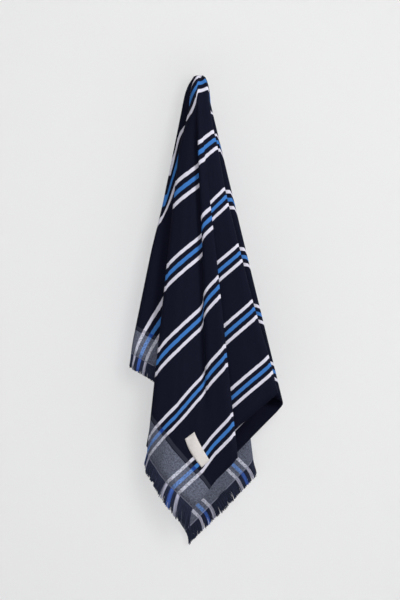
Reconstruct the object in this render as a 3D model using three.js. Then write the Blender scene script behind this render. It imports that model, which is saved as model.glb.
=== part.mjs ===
// A striped beach towel, folded double end to end and hung from one point near its middle.
//
// Frame: millimetres, +Z up, origin at the point that the towel hangs from. The front of the
// towel faces -Y.
//
// The towel is worked out twice. Laid flat and folded double it is a rectangle round the hanging
// point, with U across the stripes and V along them. Hung up, every point keeps its distance
// from the hanging point, so the folds run out from there like the ribs of a shut umbrella.
// A table of folds says where each fold lies in the flat cloth and where it hangs.

import * as THREE from 'three';

// The flat cloth, folded double, measured from the hanging point.
const SELVAGE_RIGHT = 472;
const SELVAGE_LEFT = -528;
const FRINGED_END = 489;
const MIDDLE_FOLD = -388;

// The cloth itself: two layers that lie a little apart.
const CLOTH_THICKNESS = 1.2;
const LAYER_SPACING = 2.0;

// Reach is the distance down from the hanging point. The fold table holds two reaches.
const TOP_REACH = 47;
const LOW_REACH = 472;
const FLAT_DRIFT = 126;
const CAP_SLOPE = 0.93;
const CAP_ROUNDING = 1.5;
const BEND = 5;

// Rows of the mesh: shares of the cap above TOP_REACH, then of the way from there to the edge.
const CAP_ROWS = [0.34, 0.68, 1];
const DROP_ROWS = [0.1, 0.22, 0.36, 0.52, 0.68, 0.84, 1];

// Columns of the mesh: how far along each side of a bend its columns stand, how wide a panel is
// that has one in its middle, and how near a corner of the cloth none stands.
const BEND_COLUMN = 0.6;
const WIDE_PANEL = 40;
const CORNER_CLEARANCE = 0.06;

// Fringe: a strip along each fringed end, with strands below it.
const STRAND_PITCH = 11;
const FRINGE_LENGTH = 23;
const STRIP_WIDTH = 3;
const STRIP_THICKNESS = 1.2;
const STRAND_SHARE = 0.6;
const TIP_THICKNESS = 0.8;
const TIP_TAPER = 0.2;
const SEAT_GAP = 1.5;

// Label: a bare rectangle on the front layer, near the front corner.
const LABEL_WIDTH = 52;
const LABEL_HEIGHT = 20;
const LABEL_THICKNESS = 0.8;
const LABEL_GAP = 0.5;
const LABEL_U = 413.7;
const LABEL_V = 418.5;
const LABEL_TILT = THREE.MathUtils.degToRad(12);

const COLOURS = {
  cloth: 0x1a2036,
  fringe: 0x20263c,
  label: 0xe3dad2,
};

// One row for each edge of a fold, in order round the towel. `flat` is its direction in the flat
// cloth in degrees from U towards V, and x and y are where it hangs, at both reaches. `pull` is
// less than 1 where the cloth is drawn up and a little more than 1 where it is stretched.
const FOLD_COLUMNS = ['name', 'topFlat', 'topX', 'topY', 'flat', 'x', 'y', 'pull'];
const FRONT_FOLDS = [
  ['right edge', -27.1, 15.2, -11.4, -27.1, 117, -19.0, 1],
  ['right flank rim', -25.2, 14.8, -13.4, -25.2, 107, -19.2, 1],
  ['right tuck in', -30, 14.5, -15.0, -4, 2, -18.5, 1],
  ['right tuck out', -25, 13.2, -18.8, -1.5, 2, -24.5, 1],
  ['right tuck rim', 24, 11.0, -20.4, 22.3, 108, -41.0, 1.006],
  ['right ridge', 27, 7.2, -24.0, 23.4, 112, -47.9, 1.006],
  ['right panel end', 33, -0.2, -24.6, 35.6, 45, -55.6, 1.008],
  ['middle tuck', 33.3, -0.7, -24.7, 36.4, 43.5, -55.8, 1.008],
  ['middle tuck rim', 33.6, -1.3, -24.8, 38.2, 42, -56.0, 1.008],
  ['middle ridge', 34, -1.9, -24.9, 38.9, 40.5, -56.2, 1.008],
  ['centre fold front', 37, -3.4, -24.8, 43.3, 10, -58.2, 1.008],
  ['centre fold back', 56, -5.5, -24.4, 44.9, 9, -58.1, 1.008],
  ['left bend', 66, -11.4, -19.0, 49.5, -32.5, -55.5, 1.005],
  ['left ridge', 72, -23.6, -12.5, 54, -69, -51.9, 1.003],
  ['left tuck rim', 73.5, -24.2, -8.9, 54.9, -68, -45.3, 1],
  ['left tuck in', 75, -24.5, -8.1, 65, -8, -40.0, 0.95],
  ['left tuck out', 88, -24.8, -4.3, 66.2, -8, -33.5, 0.93],
  ['wing end', 97, -25.0, -0.6, 80, -109, -29.9, 0.905],
  ['wing back', 100, -24.8, 2.6, 82.5, -110, -18.9, 0.905],
  ['flank', 102, -22.8, 12.0, 88.5, -98, 37.5, 0.905],
  ['back panel', 104, -19.7, 18.0, 90, -85, 50.5, 0.91],
  ['back tuck in', 112, -9.0, 20.2, 101, 22, 51.5, 0.93],
  ['back tuck out', 113, -7.5, 23.8, 102.3, 22, 57.5, 0.935],
  ['back ridge rim', 117, -3.0, 24.3, 107.5, -44, 58.5, 0.95],
  ['back ridge', 118, -1.5, 27.9, 108.8, -44, 65.5, 0.955],
  ['rear fold back', 126, 9.7, 26.6, 126, 63, 60.0, 1],
  ['rear fold front', 128, 14.5, 23.0, 127.6, 67, 53.0, 1.004],
  ['rear curl', 133, 15.0, 21.3, 137.4, -10.5, 40.6, 1.006],
  ['rear panel end', 138, 15.2, 19.6, 144.6, -44, 35.5, 1.004],
];

// What holds over only part of the drop. Each row shifts one fold by x, y and flat direction,
// with x and y in step with the reach where `grows` is 1. It sets in between the reaches `start`
// and `full`, and goes again between `fades` and `gone`.
const LATE_COLUMNS = ['name', 'x', 'y', 'flat', 'grows', 'start', 'full', 'fades', 'gone'];
const LATE_FOLDS = [
  ['right edge', 0, 0, -43, 0, -2, -1, 58, 98],
  ['right flank rim', 0, 0, -38, 0, -2, -1, 58, 98],
  ['right flank rim', -12, 0, 0, 0, 30, 110, 200, 472],
  ['right tuck rim', 1.8, 0, 0, 0, -2, -1, 47, 94],
  ['right tuck rim', -4.3, 0, 0, 0, 110, 200, 340, 480],
  ['right ridge', 5, 0, 0, 0, -2, -1, 47, 94],
  ['right ridge', -4.3, 0, 0, 0, 110, 200, 340, 480],
  ['right panel end', -23, 12, 0, 1, 150, 300, 900, 950],
  ['middle tuck', -21.5, 5.2, 0, 1, 150, 300, 900, 950],
  ['middle tuck rim', 1, -0.6, 0, 1, 150, 300, 900, 950],
  ['middle ridge', 3.5, -6.6, 0, 1, 150, 300, 900, 950],
  ['centre fold front', -3.4, 0, 0, 0, 47, 130, 150, 330],
  ['centre fold front', 0, -1.5, 0, 0, 47, 110, 440, 545],
  ['centre fold front', 9, -1.0, -1.1, 0, 480, 600, 900, 950],
  ['centre fold back', 10, 0, 0, 0, 47, 110, 150, 440],
  ['centre fold back', 0, 9.5, 0, 0, 47, 110, 440, 545],
  ['centre fold back', 0, 0, -1.7, 0, 380, 545, 900, 950],
  ['centre fold back', -9, 0.3, 1.25, 0, 480, 600, 900, 950],
  ['left bend', -14, 0, 0, 0, 520, 650, 900, 950],
  ['left ridge', 8.7, 0, 0, 0, -2, -1, 47, 130],
  ['left ridge', 0, 26, 0, 0, 540, 625, 900, 950],
  ['left tuck rim', 9, 0, 0, 0, -2, -1, 47, 130],
  ['left tuck rim', 0, 26, 0, 0, 540, 625, 900, 950],
  ['left tuck in', 9, 0, 0, 0, -2, -1, 47, 130],
  ['left tuck out', 9, 0, 0, 0, -2, -1, 47, 130],
  ['left tuck out', 0, 0, 13, 0, -2, -1, 50, 105],
  ['left tuck out', 0, 0, 4.2, 0, 230, 320, 390, 520],
  ['wing end', -3, 0, 0, 0, 200, 300, 430, 480],
  ['wing end', 0, 0, 2.4, 0, 90, 160, 210, 290],
  ['wing end', 0, 0, 9, 0, -2, -1, 50, 110],
  ['wing back', -3, 0, 0, 0, 200, 300, 430, 480],
  ['wing back', 0, 0, 7, 0, -2, -1, 50, 110],
  ['flank', 0, 0, 6, 0, -2, -1, 50, 110],
  ['back panel', 0, 0, 5, 0, -2, -1, 50, 110],
];

// The pleats inside the bundle lie one in front of another, from the rear panel forwards.
const PLEAT_COLUMNS = ['startFlat', 'startX', 'endFlat', 'endX'];
const INNER_PLEATS = [
  [145.8, -44, 172, 94],
  [173.3, 95, 206.5, -62],
  [207.8, -62, 233, 106],
  [234.3, 107, 257, -86],
  [258.3, -86, 282, 110],
  [283.3, 111, 304, -72],
  [305.3, -72, 331.9, 112],
];
const PLEAT_TOP_X = 15.2;
const PLEAT_TOP_Y = 17.6;
const PLEAT_TOP_SPACING = 4.2;
const PLEAT_Y = 29.5;
const PLEAT_SPACING = 6.1;

function rowsToObjects(columns, rows) {
  return rows.map((row) => Object.fromEntries(columns.map((name, i) => [name, row[i]])));
}

function innerPleatFolds() {
  const folds = [];
  rowsToObjects(PLEAT_COLUMNS, INNER_PLEATS).forEach((pleat, i) => {
    const topY = PLEAT_TOP_Y - i * PLEAT_TOP_SPACING;
    const y = PLEAT_Y - i * PLEAT_SPACING;
    folds.push({
      name: `pleat ${i + 1} start`, topFlat: 140 + 21 * i, topX: PLEAT_TOP_X, topY,
      flat: pleat.startFlat, x: pleat.startX, y, pull: 1,
    });
    folds.push({
      name: `pleat ${i + 1} end`, topFlat: 157 + 21 * i, topX: PLEAT_TOP_X,
      topY: topY - 0.1 * PLEAT_TOP_SPACING, flat: pleat.endFlat, x: pleat.endX,
      y: y - 0.1 * PLEAT_SPACING, pull: 1,
    });
  });
  return folds;
}

// The whole round of folds starts at the back of the right edge, so flat angles only grow.
const folds = [...rowsToObjects(FOLD_COLUMNS, FRONT_FOLDS), ...innerPleatFolds()];
const FOLD_COUNT = folds.length;

function mix(a, b, share) {
  return a + (b - a) * share;
}

function foldAt(index) {
  return folds[((index % FOLD_COUNT) + FOLD_COUNT) % FOLD_COUNT];
}

const lateFolds = rowsToObjects(LATE_COLUMNS, LATE_FOLDS);

// How much of a late shift holds at this reach.
function lateAmount(late, reach) {
  const grown = THREE.MathUtils.smoothstep(reach, late.start, late.full);
  return grown * (1 - THREE.MathUtils.smoothstep(reach, late.fades, late.gone));
}

// Flat angle of one fold, which drifts to its low value away from the top.
function foldFlatAngle(index, reach) {
  const fold = foldAt(index);
  const drift = Math.exp(-Math.max(0, reach - TOP_REACH) / FLAT_DRIFT);
  let angle = mix(fold.flat, fold.topFlat, drift) + 360 * Math.floor(index / FOLD_COUNT);
  for (const late of lateFolds.filter((row) => row.name === fold.name)) {
    angle += late.flat * lateAmount(late, reach);
  }
  return angle;
}

// Flat angle of a place in the round.
function flatAngle(place, reach) {
  const index = Math.floor(place);
  return mix(foldFlatAngle(index, reach), foldFlatAngle(index + 1, reach), place - index);
}

function pullAt(place) {
  const index = Math.floor(place);
  return mix(foldAt(index).pull, foldAt(index + 1).pull, place - index);
}

// How far the late shifts have moved one fold at this reach.
function lateShift(name, reach) {
  const shift = new THREE.Vector2(0, 0);
  for (const late of lateFolds.filter((row) => row.name === name)) {
    const growth = late.grows ? reach / LOW_REACH : 1;
    shift.x += late.x * growth * lateAmount(late, reach);
    shift.y += late.y * growth * lateAmount(late, reach);
  }
  return shift;
}

function foldPoint(index, reach) {
  const fold = foldAt(index);
  const share = (reach - TOP_REACH) / (LOW_REACH - TOP_REACH);
  const shift = lateShift(fold.name, reach);
  return new THREE.Vector2(
    mix(fold.topX, fold.x, share) + shift.x,
    mix(fold.topY, fold.y, share) + shift.y,
  );
}

// Where the round of folds passes at one reach: straight between folds, rounded at each.
function sectionPoint(place, reach) {
  const nearest = Math.round(place);
  const offset = place - nearest;
  const corner = foldPoint(nearest, reach);
  const before = foldPoint(nearest - 1, reach);
  const after = foldPoint(nearest + 1, reach);
  const neighbour = offset < 0 ? before : after;
  const length = corner.distanceTo(neighbour);
  const cut = Math.min(BEND, 0.5 * length);
  const along = Math.abs(offset) * length;
  if (along >= cut) {
    return corner.clone().lerp(neighbour, Math.abs(offset));
  }
  const cutBefore = Math.min(BEND, 0.5 * corner.distanceTo(before));
  const cutAfter = Math.min(BEND, 0.5 * corner.distanceTo(after));
  const enter = corner.clone().lerp(before, cutBefore / corner.distanceTo(before));
  const leave = corner.clone().lerp(after, cutAfter / corner.distanceTo(after));
  const t = 0.5 + 0.5 * Math.sign(offset) * (along / cut);
  return enter.multiplyScalar((1 - t) * (1 - t))
    .addScaledVector(corner, 2 * t * (1 - t))
    .addScaledVector(leave, t * t);
}

// A point of the top, where the cloth spreads from the hanging point to the first folds.
function capPoint(place, radius) {
  const rim = hungPoint(place, TOP_REACH);
  const slope = CAP_SLOPE / Math.max(0.5, Math.abs(rim.x));
  const x = rim.x * Math.expm1(-slope * radius) / Math.expm1(-slope * TOP_REACH);
  const y = rim.y * (radius / TOP_REACH) ** CAP_ROUNDING;
  return new THREE.Vector3(x, y, -Math.sqrt(Math.max(0, radius * radius - x * x - y * y)));
}

// A point of the hung towel, midway between its two layers.
function hungPoint(place, flatRadius) {
  if (flatRadius < TOP_REACH) {
    return capPoint(place, flatRadius);
  }
  const reach = TOP_REACH + (flatRadius - TOP_REACH) * pullAt(place);
  const section = sectionPoint(place, reach);
  const drop = Math.sqrt(reach * reach - section.lengthSq());
  return new THREE.Vector3(section.x, section.y, -drop);
}

// Distance from the hanging point to the edge of the folded cloth in one flat direction.
function edgeRadius(degrees) {
  const angle = THREE.MathUtils.degToRad(degrees);
  const cos = Math.cos(angle);
  const sin = Math.sin(angle);
  const alongU = cos > 0 ? SELVAGE_RIGHT / cos : SELVAGE_LEFT / cos;
  const alongV = sin > 0 ? FRINGED_END / sin : MIDDLE_FOLD / sin;
  return Math.min(Math.abs(alongU), Math.abs(alongV));
}

// The same for a place in the round, whose flat direction drifts with the reach.
function edgeRadiusAt(place) {
  let radius = 500;
  for (let i = 0; i < 8; i += 1) {
    radius = edgeRadius(flatAngle(place, radius));
  }
  return radius;
}

// The place in the round at which a flat point hangs.
function placeOf(u, v) {
  const angle = THREE.MathUtils.radToDeg(Math.atan2(v, u));
  const degrees = angle < folds[0].flat ? angle + 360 : angle;
  const radius = Math.hypot(u, v);
  let low = 0;
  let high = FOLD_COUNT;
  for (let i = 0; i < 50; i += 1) {
    const middle = (low + high) / 2;
    if (flatAngle(middle, radius) < degrees) {
      low = middle;
    } else {
      high = middle;
    }
  }
  return (low + high) / 2;
}

const CORNER_PLACES = {
  front: placeOf(SELVAGE_RIGHT, FRINGED_END),
  rear: placeOf(SELVAGE_LEFT, FRINGED_END),
  foldLeft: placeOf(SELVAGE_LEFT, MIDDLE_FOLD),
  foldRight: placeOf(SELVAGE_RIGHT, MIDDLE_FOLD),
};

// Two columns at each fold, one in the middle of each wide panel, and one at each corner.
function columnPlaces() {
  const places = [];
  for (let i = 0; i < FOLD_COUNT; i += 1) {
    const before = foldPoint(i, LOW_REACH).distanceTo(foldPoint(i - 1, LOW_REACH));
    const after = foldPoint(i, LOW_REACH).distanceTo(foldPoint(i + 1, LOW_REACH));
    places.push(i - BEND_COLUMN * Math.min(0.5, BEND / before));
    places.push(i + BEND_COLUMN * Math.min(0.5, BEND / after));
    if (after > WIDE_PANEL) {
      places.push(i + 0.5);
    }
  }
  const corners = Object.values(CORNER_PLACES);
  const clear = places.map((place) => (place + FOLD_COUNT) % FOLD_COUNT)
    .filter((place) => corners.every((corner) => Math.abs(corner - place) > CORNER_CLEARANCE));
  return [...clear, ...corners].sort((a, b) => a - b);
}

const PLACES = columnPlaces();
const COLUMN_COUNT = PLACES.length;

// Flat radius of each row in one column, from the cap to the edge of the cloth.
function rowRadii(place) {
  const edge = edgeRadiusAt(place);
  const cap = CAP_ROWS.map((share) => share * TOP_REACH);
  const drop = DROP_ROWS.map((share) => mix(TOP_REACH, edge, share));
  return [...cap, ...drop];
}

const ROW_COUNT = CAP_ROWS.length + DROP_ROWS.length;

const grid = PLACES.map((place) => rowRadii(place).map((radius) => hungPoint(place, radius)));

// Outward direction of the cloth at each grid point, from its neighbours.
function outwardAt(column, row) {
  const left = grid[(column + 1) % COLUMN_COUNT][row];
  const right = grid[(column + COLUMN_COUNT - 1) % COLUMN_COUNT][row];
  const up = row > 0 ? grid[column][row - 1] : new THREE.Vector3(0, 0, 0);
  const down = grid[column][Math.min(row + 1, ROW_COUNT - 1)];
  const across = left.clone().sub(right);
  const along = down.clone().sub(up);
  return across.cross(along).normalize();
}

const outward = grid.map((rows, column) => rows.map((_, row) => outwardAt(column, row)));

function offsetPoint(column, row, distance) {
  return grid[column][row].clone().addScaledVector(outward[column][row], distance);
}

class MeshBuilder {
  constructor() {
    this.positions = [];
    this.indices = [];
  }

  vertex(point) {
    this.positions.push(point.x, point.y, point.z);
    return this.positions.length / 3 - 1;
  }

  triangle(a, b, c) {
    this.indices.push(a, b, c);
  }

  quad(a, b, c, d) {
    this.indices.push(a, b, c, a, c, d);
  }

  geometry() {
    const geometry = new THREE.BufferGeometry();
    geometry.setAttribute('position', new THREE.Float32BufferAttribute(this.positions, 3));
    geometry.setIndex(this.indices);
    geometry.computeVertexNormals();
    return geometry;
  }
}

// The four faces of the doubled cloth, as distances out from its middle.
const FACES = {
  front: LAYER_SPACING / 2 + CLOTH_THICKNESS / 2,
  frontInside: LAYER_SPACING / 2 - CLOTH_THICKNESS / 2,
  backInside: -LAYER_SPACING / 2 + CLOTH_THICKNESS / 2,
  back: -LAYER_SPACING / 2 - CLOTH_THICKNESS / 2,
};

// One face of the cloth: a cap point and a grid of rows, wound to face out or in.
function addFace(builder, distance, facesOut) {
  const apex = builder.vertex(new THREE.Vector3(0, 0, distance));
  const rows = PLACES.map((_, column) => rowRadii(PLACES[column])
    .map((__, row) => builder.vertex(offsetPoint(column, row, distance))));
  for (let column = 0; column < COLUMN_COUNT; column += 1) {
    const next = (column + 1) % COLUMN_COUNT;
    if (facesOut) {
      builder.triangle(apex, rows[next][0], rows[column][0]);
    } else {
      builder.triangle(apex, rows[column][0], rows[next][0]);
    }
    for (let row = 0; row + 1 < ROW_COUNT; row += 1) {
      const [a, b] = [rows[column][row], rows[next][row]];
      const [c, d] = [rows[next][row + 1], rows[column][row + 1]];
      if (facesOut) {
        builder.quad(a, b, c, d);
      } else {
        builder.quad(a, d, c, b);
      }
    }
  }
  return rows.map((column) => column[ROW_COUNT - 1]);
}

function isMiddleFold(column) {
  const place = PLACES[column];
  return place >= CORNER_PLACES.foldLeft && place < CORNER_PLACES.foldRight;
}

// Tip of the middle fold, a little beyond the last row.
function foldTip(column, reachOut) {
  const last = grid[column][ROW_COUNT - 1];
  const along = last.clone().sub(grid[column][ROW_COUNT - 2]).normalize();
  return last.clone().addScaledVector(along, reachOut);
}

function addEdges(builder, edges) {
  const outerTips = new Map();
  const innerTips = new Map();
  for (let column = 0; column < COLUMN_COUNT; column += 1) {
    const next = (column + 1) % COLUMN_COUNT;
    if (isMiddleFold(column)) {
      for (const end of [column, next]) {
        if (!outerTips.has(end)) {
          outerTips.set(end, builder.vertex(foldTip(end, FACES.front)));
          innerTips.set(end, builder.vertex(foldTip(end, FACES.frontInside)));
        }
      }
      builder.quad(edges.front[column], edges.front[next], outerTips.get(next), outerTips.get(column));
      builder.quad(outerTips.get(column), outerTips.get(next), edges.back[next], edges.back[column]);
      builder.quad(edges.frontInside[next], edges.frontInside[column],
        innerTips.get(column), innerTips.get(next));
      builder.quad(innerTips.get(next), innerTips.get(column),
        edges.backInside[column], edges.backInside[next]);
    } else {
      builder.quad(edges.front[column], edges.front[next],
        edges.frontInside[next], edges.frontInside[column]);
      builder.quad(edges.backInside[column], edges.backInside[next],
        edges.back[next], edges.back[column]);
    }
  }
  closeFoldEnd(builder, edges, outerTips, innerTips, Math.min(...outerTips.keys()), false);
  closeFoldEnd(builder, edges, outerTips, innerTips, Math.max(...outerTips.keys()), true);
}

// The end of the middle fold at a corner, where the two layers part.
function closeFoldEnd(builder, edges, outerTips, innerTips, column, flip) {
  const outer = [edges.front[column], outerTips.get(column), edges.back[column]];
  const inner = [edges.frontInside[column], innerTips.get(column), edges.backInside[column]];
  for (let i = 0; i < 2; i += 1) {
    if (flip) {
      builder.quad(outer[i], inner[i], inner[i + 1], outer[i + 1]);
    } else {
      builder.quad(outer[i], outer[i + 1], inner[i + 1], inner[i]);
    }
  }
}

function towelGeometry() {
  const builder = new MeshBuilder();
  const edges = {
    front: addFace(builder, FACES.front, true),
    frontInside: addFace(builder, FACES.frontInside, false),
    backInside: addFace(builder, FACES.backInside, true),
    back: addFace(builder, FACES.back, false),
  };
  addEdges(builder, edges);
  return builder.geometry();
}

// Direction of the fringed end at a column, averaged over the two stretches that meet there.
function edgeAhead(column) {
  const row = ROW_COUNT - 1;
  const after = grid[(column + 1) % COLUMN_COUNT][row];
  const before = grid[(column + COLUMN_COUNT - 1) % COLUMN_COUNT][row];
  const here = grid[column][row];
  const ahead = after.clone().sub(here).normalize();
  return ahead.add(here.clone().sub(before).normalize()).normalize();
}

// A frame on the fringed end at a column: its edge point, outward, the way on past the edge, and
// how far along that way the seat of the fringe lies. On a flat panel the way on is square to
// the edge, and round a sharp fold it is straight down.
function columnFrame(column) {
  const row = ROW_COUNT - 1;
  const point = grid[column][row].clone();
  const radial = point.clone().sub(grid[column][row - 1]).normalize();
  const ahead = edgeAhead(column);
  const square = radial.clone().addScaledVector(ahead, -radial.dot(ahead)).normalize();
  const turn = outward[column - 1][row].dot(outward[column + 1][row]);
  const flatness = THREE.MathUtils.smoothstep(turn, 0.2, 0.95);
  const out = radial.lerp(square, flatness).normalize();
  return { point, normal: outward[column][row].clone(), out, seat: SEAT_GAP / out.dot(square) };
}

function mixFrames(from, to, share) {
  return {
    point: from.point.clone().lerp(to.point, share),
    normal: from.normal.clone().lerp(to.normal, share).normalize(),
    out: from.out.clone().lerp(to.out, share).normalize(),
    seat: mix(from.seat, to.seat, share),
  };
}

// A pair of corners of the fringe, on the front and back of a point out from the cloth's edge.
function fringeRing(builder, frame, shift, along, thickness) {
  const centre = frame.point.clone().addScaledVector(frame.normal, shift)
    .addScaledVector(frame.out, along);
  return [0.5, -0.5].map((side) => builder.vertex(
    centre.clone().addScaledVector(frame.normal, side * thickness),
  ));
}

// Frames along the fringed end, with a flag on each where a strand starts. Between two columns
// there is a gap, a strand, a gap and so on.
function fringeStations() {
  const first = PLACES.indexOf(CORNER_PLACES.front);
  const last = PLACES.indexOf(CORNER_PLACES.rear);
  const stations = [];
  for (let column = first; column < last; column += 1) {
    const from = columnFrame(column);
    const to = columnFrame(column + 1);
    const width = flatEdge(column) - flatEdge(column + 1);
    const count = Math.round(width / STRAND_PITCH);
    stations.push({ frame: from, strand: false });
    for (let i = 0; i < count; i += 1) {
      const middle = (i + 0.5) / count;
      const half = STRAND_SHARE / 2 / count;
      stations.push({ frame: mixFrames(from, to, middle - half), strand: true });
      stations.push({ frame: mixFrames(from, to, middle + half), strand: false });
    }
  }
  stations.push({ frame: columnFrame(last), strand: false });
  return stations;
}

// How far along the fringed end a column stands in the flat cloth, from the hanging point.
function flatEdge(column) {
  const radius = edgeRadiusAt(PLACES[column]);
  return radius * Math.cos(THREE.MathUtils.degToRad(flatAngle(PLACES[column], radius)));
}

// The fringe of one end: the underside of its strip is dealt out to strands and gaps in turn.
function fringeGeometry(shift) {
  const builder = new MeshBuilder();
  const stations = fringeStations();
  const ring = (station, along) => (
    fringeRing(builder, station.frame, shift, along, STRIP_THICKNESS)
  );
  const top = stations.map((station) => ring(station, station.frame.seat));
  const under = stations.map((station) => ring(station, station.frame.seat + STRIP_WIDTH));
  const last = stations.length - 1;
  for (let i = 0; i < last; i += 1) {
    const [a, b] = [top[i], top[i + 1]];
    const [c, d] = [under[i], under[i + 1]];
    builder.quad(a[0], b[0], d[0], c[0]);
    builder.quad(a[1], c[1], d[1], b[1]);
    builder.quad(a[0], a[1], b[1], b[0]);
    if (stations[i].strand) {
      addStrand(builder, c, d, stations[i].frame, stations[i + 1].frame, shift);
    } else {
      builder.quad(c[0], d[0], d[1], c[1]);
    }
  }
  builder.quad(top[0][0], under[0][0], under[0][1], top[0][1]);
  builder.quad(top[last][0], top[last][1], under[last][1], under[last][0]);
  return builder.geometry();
}

// A strand is a flat lock that narrows a little towards its tip.
function addStrand(builder, rootA, rootB, frameA, frameB, shift) {
  const [tipA, tipB] = [TIP_TAPER, 1 - TIP_TAPER].map((share) => fringeRing(
    builder, mixFrames(frameA, frameB, share), shift, FRINGE_LENGTH, TIP_THICKNESS,
  ));
  builder.quad(rootA[0], rootB[0], tipB[0], tipA[0]);
  builder.quad(rootA[1], tipA[1], tipB[1], rootB[1]);
  builder.quad(rootA[0], tipA[0], tipA[1], rootA[1]);
  builder.quad(rootB[0], rootB[1], tipB[1], tipB[0]);
  builder.quad(tipA[0], tipB[0], tipB[1], tipA[1]);
}

// The label lies a little askew of U on the front face, clear of the cloth.
function labelGeometry() {
  const builder = new MeshBuilder();
  const acrossSteps = 4;
  const rings = [];
  for (let i = 0; i <= acrossSteps; i += 1) {
    const across = (0.5 - i / acrossSteps) * LABEL_WIDTH;
    const ends = [-0.5, 0.5].map((side) => labelPoint(across, side * LABEL_HEIGHT));
    rings.push(ends.map((end) => [0, LABEL_THICKNESS].map((height) => builder.vertex(
      end.point.clone().addScaledVector(end.normal, FACES.front + LABEL_GAP + height),
    ))));
  }
  for (let i = 0; i < acrossSteps; i += 1) {
    const [a, b] = [rings[i], rings[i + 1]];
    builder.quad(a[0][1], b[0][1], b[1][1], a[1][1]);
    builder.quad(a[0][0], a[1][0], b[1][0], b[0][0]);
    builder.quad(a[0][0], b[0][0], b[0][1], a[0][1]);
    builder.quad(a[1][0], a[1][1], b[1][1], b[1][0]);
  }
  const [first, last] = [rings[0], rings[acrossSteps]];
  builder.quad(first[0][0], first[0][1], first[1][1], first[1][0]);
  builder.quad(last[0][0], last[1][0], last[1][1], last[0][1]);
  return builder.geometry();
}

// Where the hung cloth carries a point of the label, and its outward direction there.
function labelPoint(across, along) {
  const u = LABEL_U + across * Math.cos(LABEL_TILT) - along * Math.sin(LABEL_TILT);
  const v = LABEL_V + across * Math.sin(LABEL_TILT) + along * Math.cos(LABEL_TILT);
  const radius = Math.hypot(u, v);
  const place = placeOf(u, v);
  const point = hungPoint(place, radius);
  const aside = hungPoint(place + 0.02, radius).sub(hungPoint(place - 0.02, radius));
  const down = hungPoint(place, radius + 5).sub(hungPoint(place, radius - 5));
  const normal = aside.cross(down).normalize();
  return { point, normal };
}

function makeMesh(name, geometry, colour, roughness) {
  const material = new THREE.MeshStandardMaterial({ color: colour, roughness, metalness: 0 });
  const mesh = new THREE.Mesh(geometry, material);
  mesh.name = name;
  return mesh;
}

const layerShift = LAYER_SPACING / 2;
const towel = new THREE.Group();
towel.name = 'beach_towel';
towel.add(makeMesh('towel', towelGeometry(), COLOURS.cloth, 0.9));
towel.add(makeMesh('fringe_outer', fringeGeometry(layerShift), COLOURS.fringe, 0.92));
towel.add(makeMesh('fringe_inner', fringeGeometry(-layerShift), COLOURS.fringe, 0.92));
towel.add(makeMesh('label', labelGeometry(), COLOURS.label, 0.75));

export default towel;
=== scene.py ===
"""A striped beach towel, folded double and hung from one point, in front of a pale wall."""

import math
import random

import bpy
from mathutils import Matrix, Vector


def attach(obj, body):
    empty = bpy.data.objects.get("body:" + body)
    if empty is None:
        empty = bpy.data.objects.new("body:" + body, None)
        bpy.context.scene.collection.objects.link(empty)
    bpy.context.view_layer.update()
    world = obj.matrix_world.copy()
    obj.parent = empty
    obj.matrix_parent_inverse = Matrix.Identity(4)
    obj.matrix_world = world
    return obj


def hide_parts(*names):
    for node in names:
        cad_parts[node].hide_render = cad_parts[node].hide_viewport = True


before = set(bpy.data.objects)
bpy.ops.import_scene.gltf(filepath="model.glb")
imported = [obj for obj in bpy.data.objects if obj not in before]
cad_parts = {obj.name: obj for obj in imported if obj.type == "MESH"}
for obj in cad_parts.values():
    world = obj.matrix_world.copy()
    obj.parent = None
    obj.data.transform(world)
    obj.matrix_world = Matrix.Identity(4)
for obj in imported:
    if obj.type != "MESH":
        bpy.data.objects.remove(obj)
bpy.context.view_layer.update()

# The drape is worked out in millimetres, as the cloth is measured. MM turns it to metres.
MM = 0.001

# The flat cloth, folded double, measured from the hanging point: U across the stripes, V along.
SELVAGE_RIGHT = 472.0
SELVAGE_LEFT = -528.0
FRINGED_END = 489.0
MIDDLE_FOLD = -388.0

# Two layers that lie a little apart.
CLOTH_THICKNESS = 1.2
LAYER_SPACING = 2.0
FACE_OFFSETS = {
    "front": LAYER_SPACING / 2 + CLOTH_THICKNESS / 2,
    "front_inside": LAYER_SPACING / 2 - CLOTH_THICKNESS / 2,
    "back_inside": -LAYER_SPACING / 2 + CLOTH_THICKNESS / 2,
    "back": -LAYER_SPACING / 2 - CLOTH_THICKNESS / 2,
}

# Reach is the distance down from the hanging point. The fold table holds two reaches, and below
# the upper one a fold's flat direction moves to its lower value over a length of FLAT_DRIFT.
TOP_REACH = 47.0
LOW_REACH = 472.0
FLAT_DRIFT = 126.0

# How steeply the top spreads from the hanging point, sideways and from front to back. Near it the
# cloth is also turned a little, most for the flat directions about CAP_TWIST_MIDDLE.
CAP_SLOPE = 0.93
CAP_DEPTH_SLOPE = 0.45
CAP_TWIST = 30.0
CAP_TWIST_REACH = 40.0
CAP_TWIST_MIDDLE = 100.0
CAP_TWIST_SPREAD = 32.0

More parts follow.
